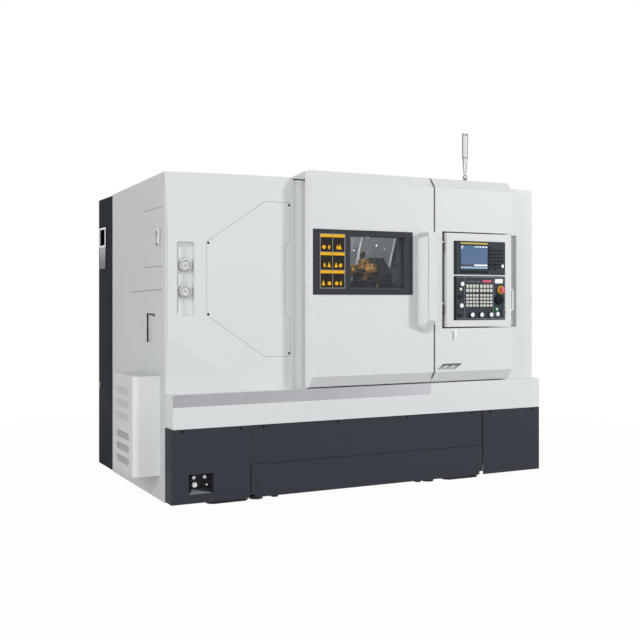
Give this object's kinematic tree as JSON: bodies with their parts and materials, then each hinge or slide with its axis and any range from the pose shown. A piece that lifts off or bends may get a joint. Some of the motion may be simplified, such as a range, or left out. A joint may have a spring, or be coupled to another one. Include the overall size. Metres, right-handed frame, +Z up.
{
  "type": "cnc turning lathe",
  "caption": "Fully enclosed slant-bed turning lathe with a sliding windowed door, swing-out control console, turret carriage and tailstock.",
  "frame": {"origin": "middle of the footprint at floor level", "axes": "+X along the machine to the right, +Y to the rear, +Z up"},
  "size_m": [2.737, 1.765, 2.2697],
  "materials": {
    "white_paint": "semi-gloss powder coat, fine orange peel",
    "dark_paint": "dark blue-grey powder coat, semi-matt",
    "grey_paint": "light grey powder coat",
    "stainless": "brushed along its length",
    "cast_iron": "machined slideways on a painted casting",
    "machined_steel": "turned and ground",
    "bronze_tooling": "gold-coloured tooling with oil sheen",
    "window_plate": "gloss black frame",
    "window_glass": "laminated safety glass",
    "notice_plate": "black plate with plain yellow fields",
    "panel_plastic": "fine-grained dark panel",
    "control_black": "moulded knob",
    "control_red": "moulded button head",
    "control_green": "moulded button head",
    "control_white": "moulded button head",
    "gauge_chrome": "polished bezel, white dial",
    "belt_rubber": "ribbed drive belt",
    "lens_clear": "clear signal lens"
  },
  "bodies": {
    "machine": {"base_casting": "cast_iron", "leveling_feet": "machined_steel", "skirt_left": "dark_paint", "skirt_middle": "dark_paint", "skirt_right": "dark_paint", "air_couplings": "stainless", "front_ledge": "white_paint", "wear_strip": "stainless", "headstock_guard": "white_paint", "access_cover": "white_paint", "pressure_gauges": "gauge_chrome", "side_panel": "white_paint", "louver_box": "white_paint", "right_panel": "white_paint", "end_cover": "white_paint", "hood": "white_paint", "roof_panel": "white_paint", "rear_panel": "white_paint", "headstock_wall": "grey_paint", "slant_guard": "grey_paint", "electric_cabinet": "dark_paint", "lamp_stem": "gauge_chrome", "lamp_lens": "lens_clear", "headstock": "cast_iron", "spindle_motor": "dark_paint", "drive_belt": "belt_rubber", "z_motor": "dark_paint"},
    "sliding_door": {"main_door": "white_paint", "window_frame": "window_plate", "window_glass": "window_glass", "notice_plate": "notice_plate", "door_handle": "white_paint"},
    "console": {"console_box": "white_paint", "display_unit": "panel_plastic", "key_panel": "panel_plastic"},
    "emergency_stop": {"emergency_stop": "control_red"},
    "handwheel": {"handwheel": "control_black"},
    "selector_knob_1": {"selector_knob_1": "control_black"},
    "selector_knob_2": {"selector_knob_2": "control_black"},
    "selector_knob_3": {"selector_knob_3": "control_black"},
    "start_button": {"start_button": "control_green"},
    "stop_button": {"stop_button": "control_white"},
    "console_lever": {"console_lever": "white_paint"},
    "side_door": {"side_door": "white_paint"},
    "side_door_latch": {"side_door_latch": "stainless"},
    "cabinet_door": {"cabinet_door": "dark_paint"},
    "cabinet_handle": {"cabinet_handle": "stainless"},
    "spindle": {"spindle": "machined_steel", "chuck_body": "machined_steel"},
    "chuck_jaw_1": {"chuck_jaw_1": "machined_steel"},
    "chuck_jaw_2": {"chuck_jaw_2": "machined_steel"},
    "chuck_jaw_3": {"chuck_jaw_3": "machined_steel"},
    "motor_pulley": {"motor_pulley": "machined_steel"},
    "carriage": {"saddle": "cast_iron"},
    "turret_carrier": {"turret_slide": "cast_iron"},
    "turret": {"turret_disc": "bronze_tooling"},
    "z_screw": {"z_screw": "machined_steel"},
    "tailstock": {"tailstock": "cast_iron"},
    "quill": {"quill": "machined_steel"},
    "live_centre": {"live_centre": "machined_steel"}
  },
  "joints": [
    {"name": "door_slide", "type": "slide", "parent": "machine", "child": "sliding_door", "axis": [-1, 0, 0], "range_m": [0, 0.79]},
    {"name": "console_swing", "type": "hinge", "parent": "machine", "child": "console", "pos_m": [0.56359, -0.7945, 1.3], "axis": [0, 0, 1], "range_deg": [-90, 0]},
    {"name": "emergency_stop_push", "type": "slide", "parent": "console", "child": "emergency_stop", "axis": [0, 1, 0], "range_m": [0, 0.004], "stiffness_N_per_m": 1500},
    {"name": "handwheel_turn", "type": "hinge", "parent": "console", "child": "handwheel", "pos_m": [0.98757, -0.8075, 1.18], "axis": [0, 1, 0], "continuous": true},
    {"name": "selector_knob_1_turn", "type": "hinge", "parent": "console", "child": "selector_knob_1", "pos_m": [0.69759, -0.8075, 1.28], "axis": [0, 1, 0], "range_deg": [-135, 135]},
    {"name": "selector_knob_2_turn", "type": "hinge", "parent": "console", "child": "selector_knob_2", "pos_m": [0.69159, -0.8075, 1.142], "axis": [0, 1, 0], "range_deg": [-135, 135]},
    {"name": "selector_knob_3_turn", "type": "hinge", "parent": "console", "child": "selector_knob_3", "pos_m": [1.02157, -0.8075, 1.097], "axis": [0, 1, 0], "range_deg": [-135, 135]},
    {"name": "start_button_push", "type": "slide", "parent": "console", "child": "start_button", "axis": [0, 1, 0], "range_m": [0, 0.003], "stiffness_N_per_m": 800},
    {"name": "stop_button_push", "type": "slide", "parent": "console", "child": "stop_button", "axis": [0, 1, 0], "range_m": [0, 0.003], "stiffness_N_per_m": 800},
    {"name": "console_lever_turn", "type": "hinge", "parent": "machine", "child": "console_lever", "pos_m": [0.64659, -0.8025, 0.978], "axis": [0, 1, 0], "range_deg": [-90, 0]},
    {"name": "side_door_swing", "type": "hinge", "parent": "machine", "child": "side_door", "pos_m": [-1.2115, -0.2175, 1.5395], "axis": [0, 0, 1], "range_deg": [-120, 0]},
    {"name": "side_door_latch_turn", "type": "hinge", "parent": "side_door", "child": "side_door_latch", "pos_m": [-1.2115, -0.5205, 1.5395], "axis": [1, 0, 0], "range_deg": [0, 90]},
    {"name": "cabinet_door_swing", "type": "hinge", "parent": "machine", "child": "cabinet_door", "pos_m": [-0.6105, 0.8605, 0.97], "axis": [0, 0, 1], "range_deg": [0, 110]},
    {"name": "cabinet_handle_turn", "type": "hinge", "parent": "cabinet_door", "child": "cabinet_handle", "pos_m": [0.2285, 0.8605, 1], "axis": [0, 1, 0], "range_deg": [0, 90]},
    {"name": "spindle_turn", "type": "hinge", "parent": "machine", "child": "spindle", "pos_m": [-0.3115, -0.3225, 1.04], "axis": [1, 0, 0], "continuous": true},
    {"name": "chuck_jaw_1_slide", "type": "slide", "parent": "spindle", "child": "chuck_jaw_1", "axis": [0, 0, 1], "range_m": [-0.003, 0.003]},
    {"name": "chuck_jaw_2_slide", "type": "slide", "parent": "spindle", "child": "chuck_jaw_2", "axis": [0, -0.866, -0.5], "range_m": [-0.003, 0.003]},
    {"name": "chuck_jaw_3_slide", "type": "slide", "parent": "spindle", "child": "chuck_jaw_3", "axis": [0, 0.866, -0.5], "range_m": [-0.003, 0.003]},
    {"name": "motor_pulley_turn", "type": "hinge", "parent": "machine", "child": "motor_pulley", "pos_m": [-0.9315, -0.4525, 0.625], "axis": [1, 0, 0], "continuous": true},
    {"name": "carriage_slide", "type": "slide", "parent": "machine", "child": "carriage", "axis": [1, 0, 0], "range_m": [-0.32, 0.2]},
    {"name": "cross_slide", "type": "slide", "parent": "carriage", "child": "turret_carrier", "axis": [0, 0.7071, 0.7071], "range_m": [-0.17, 0]},
    {"name": "turret_index", "type": "hinge", "parent": "turret_carrier", "child": "turret", "pos_m": [0.40845, -0.08562, 1.27688], "axis": [1, 0, 0], "continuous": true},
    {"name": "z_screw_turn", "type": "hinge", "parent": "machine", "child": "z_screw", "pos_m": [0.3885, 0.07277, 0.96293], "axis": [1, 0, 0], "continuous": true},
    {"name": "tailstock_slide", "type": "slide", "parent": "machine", "child": "tailstock", "axis": [-1, 0, 0], "range_m": [0, 0.45]},
    {"name": "quill_slide", "type": "slide", "parent": "tailstock", "child": "quill", "axis": [-1, 0, 0], "range_m": [0, 0.1]},
    {"name": "live_centre_turn", "type": "hinge", "parent": "quill", "child": "live_centre", "pos_m": [0.77845, -0.3225, 1.04], "axis": [1, 0, 0], "continuous": true}
  ],
  "couplings": [
    {"joint": "chuck_jaw_2_slide", "follows": "chuck_jaw_1_slide", "ratio": 1},
    {"joint": "chuck_jaw_3_slide", "follows": "chuck_jaw_1_slide", "ratio": 1},
    {"joint": "motor_pulley_turn", "follows": "spindle_turn", "ratio": 1.4667},
    {"joint": "z_screw_turn", "follows": "carriage_slide", "rad_per_m": 392.7}
  ]
}
